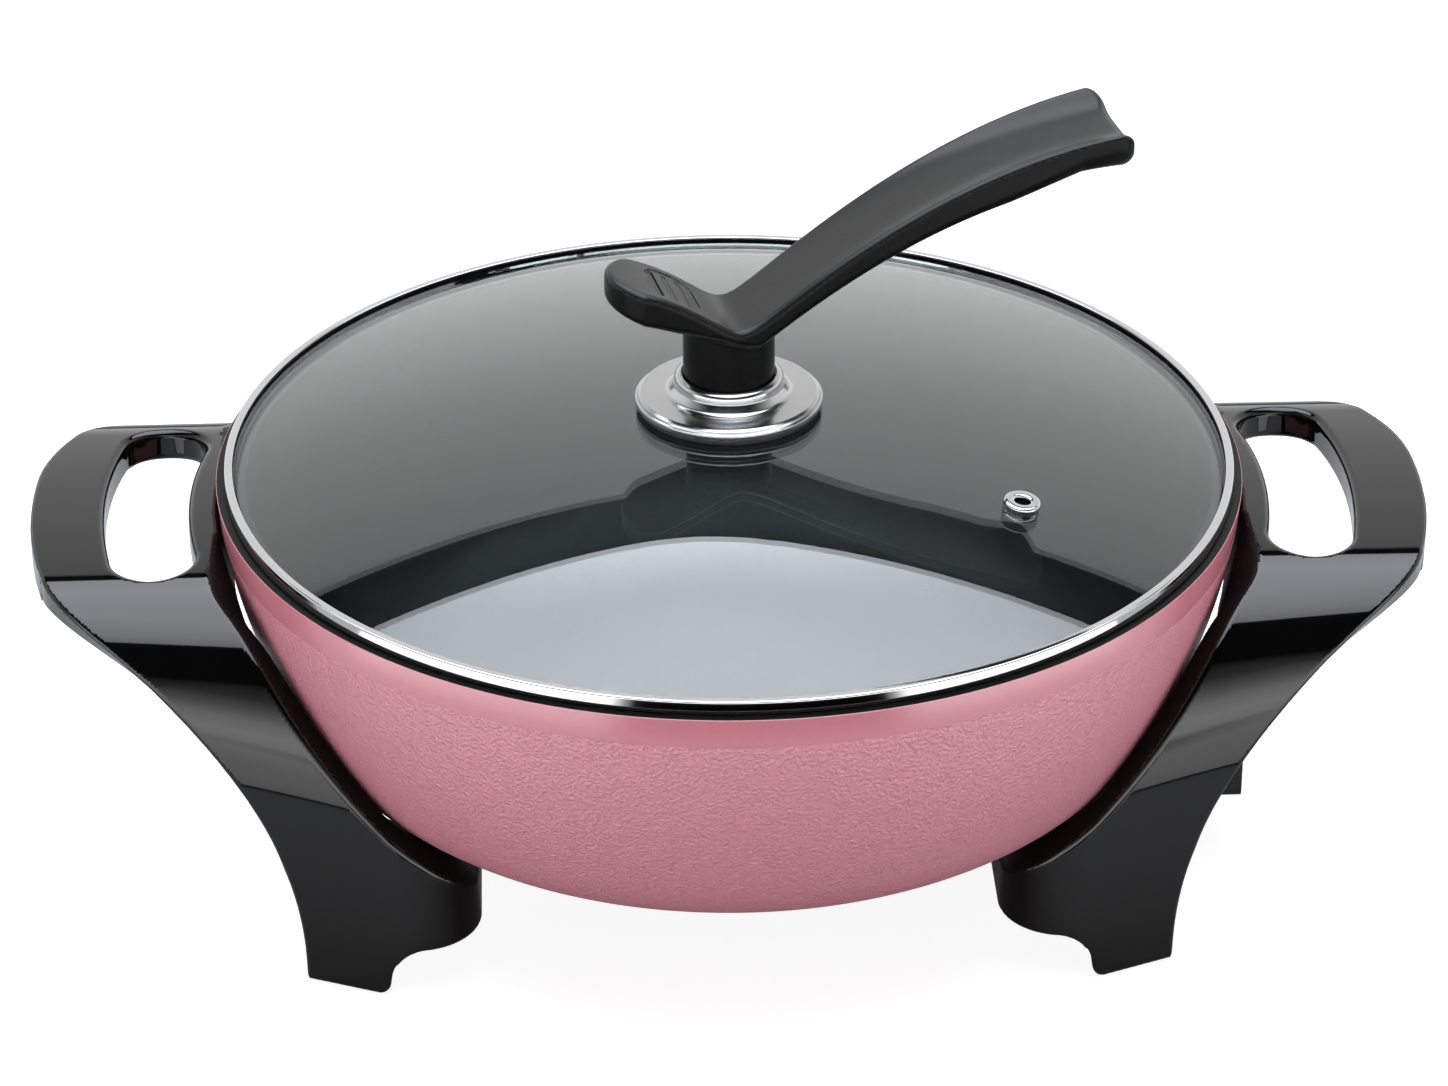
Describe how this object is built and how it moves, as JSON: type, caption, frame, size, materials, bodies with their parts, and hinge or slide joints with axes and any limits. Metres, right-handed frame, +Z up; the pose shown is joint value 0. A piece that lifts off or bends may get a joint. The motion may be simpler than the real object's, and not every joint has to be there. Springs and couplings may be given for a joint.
{
  "type": "electric skillet",
  "caption": "Round deep electric skillet with a pink cast pan, black loop-and-leg side brackets, a glass lift-off lid with a standing V handle, and a plug inlet.",
  "frame": {"origin": "point on the floor below the centre of the pan", "axes": "+Z up along the pan axis, +X towards the bracket over the power inlet, +Y away from the front"},
  "size_m": [0.438, 0.322, 0.2401],
  "materials": {
    "pan_enamel": "fine-grained pink enamel outside, dark non-stick coat inside",
    "bracket_plastic": "glossy black moulding",
    "inlet_plastic": "satin black moulding",
    "handle_plastic": "fine matte black moulding",
    "polished_steel": "polished stainless steel",
    "element_steel": "heat-dulled steel",
    "block_metal": "bare cast aluminium",
    "fastener_steel": "bright zinc",
    "insulator": "unglazed ceramic",
    "lid_glass": "clear tempered glass",
    "seal_rubber": "black silicone"
  },
  "bodies": {
    "base": {"pan_body": "pan_enamel", "heating_element": "element_steel", "terminal_block": "block_metal", "block_screws": "fastener_steel", "terminal_insulators": "insulator", "terminal_pins": "fastener_steel", "probe_sleeve": "element_steel", "inlet_shroud": "inlet_plastic", "inlet_screws": "fastener_steel", "left_bracket": "bracket_plastic", "right_bracket": "bracket_plastic", "left_bracket_screws": "fastener_steel", "right_bracket_screws": "fastener_steel", "left_bracket_washers": "fastener_steel", "right_bracket_washers": "fastener_steel"},
    "lid": {"lid_glass": "lid_glass", "lid_band": "polished_steel", "vent_eyelet": "polished_steel", "vent_seal": "seal_rubber", "knob_plate": "polished_steel", "plate_gasket": "seal_rubber", "lid_handle": "handle_plastic", "lid_screw": "fastener_steel", "lid_washer": "fastener_steel", "inner_gasket": "seal_rubber"}
  },
  "joints": [
    {"name": "lid_lift", "type": "slide", "parent": "base", "child": "lid", "axis": [0, 0, 1], "range_m": [0, 0.15]}
  ]
}
